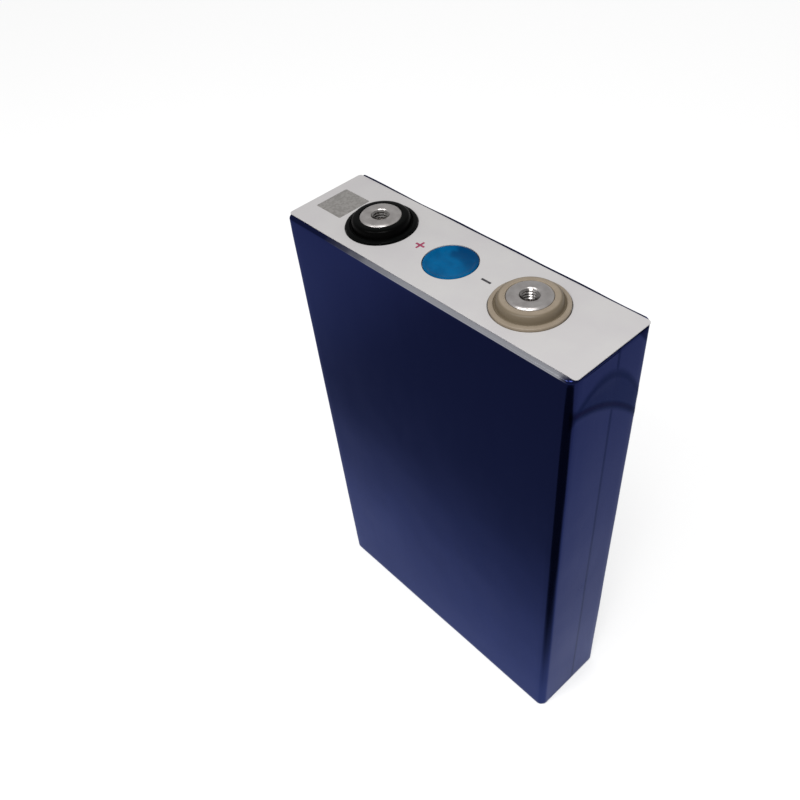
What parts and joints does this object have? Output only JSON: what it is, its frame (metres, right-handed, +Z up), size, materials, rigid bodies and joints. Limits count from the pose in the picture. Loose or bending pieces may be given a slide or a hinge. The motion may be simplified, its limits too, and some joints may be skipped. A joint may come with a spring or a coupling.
{
  "type": "prismatic lithium iron phosphate battery cell",
  "caption": "Flat upright prismatic battery cell: aluminium can in navy film, white top sheet, ringed threaded terminals at each end and a round blue vent cover between them.",
  "frame": {"origin": "centre of the base that the cell stands on", "axes": "+Z up towards the terminals, +X along the width towards the negative terminal, +Y through the thickness towards the back"},
  "size_m": [0.13, 0.036, 0.204],
  "materials": {
    "film": "glossy navy insulating film",
    "sheet": "matt white insulating sheet",
    "aluminium": "turned and rolled aluminium",
    "copper": "bare copper",
    "black_resin": "moulded black resin",
    "beige_resin": "moulded beige resin",
    "vent_film": "glossy blue protective film",
    "rubber": "moulded sealing rubber",
    "polypropylene": "moulded natural polypropylene",
    "bag": "clear insulating film",
    "tape": "green adhesive tape",
    "positive_electrode": "dark grey coating on foil",
    "negative_electrode": "graphite coating on foil",
    "separator": "white porous film"
  },
  "bodies": {
    "root": {"bottom_plate": "polypropylene", "can": "aluminium", "collector_minus": "copper", "collector_plus": "aluminium", "fill_cap": "aluminium", "fill_plug": "rubber", "film_sleeve": "film", "gasket_minus": "rubber", "gasket_plus": "rubber", "insulation_bag": "bag", "lid_plate": "aluminium", "lower_insulator_minus": "polypropylene", "lower_insulator_plus": "polypropylene", "negative_back": "negative_electrode", "negative_front": "negative_electrode", "positive_back": "positive_electrode", "positive_front": "positive_electrode", "post_minus": "copper", "ring_minus": "beige_resin", "ring_plus": "black_resin", "roll_tape_back": "tape", "roll_tape_front": "tape", "separator_inner_back": "separator", "separator_inner_front": "separator", "separator_outer_back": "separator", "separator_outer_front": "separator", "tab_minus_back": "copper", "tab_minus_front": "copper", "tab_plus_back": "aluminium", "tab_plus_front": "aluminium", "terminal_minus": "aluminium", "terminal_plus": "aluminium", "top_sheet": "sheet", "vent_film": "vent_film", "vent_guard": "polypropylene", "vent_membrane": "aluminium", "weld_tape_minus": "tape", "weld_tape_plus": "tape"}
  },
  "joints": []
}
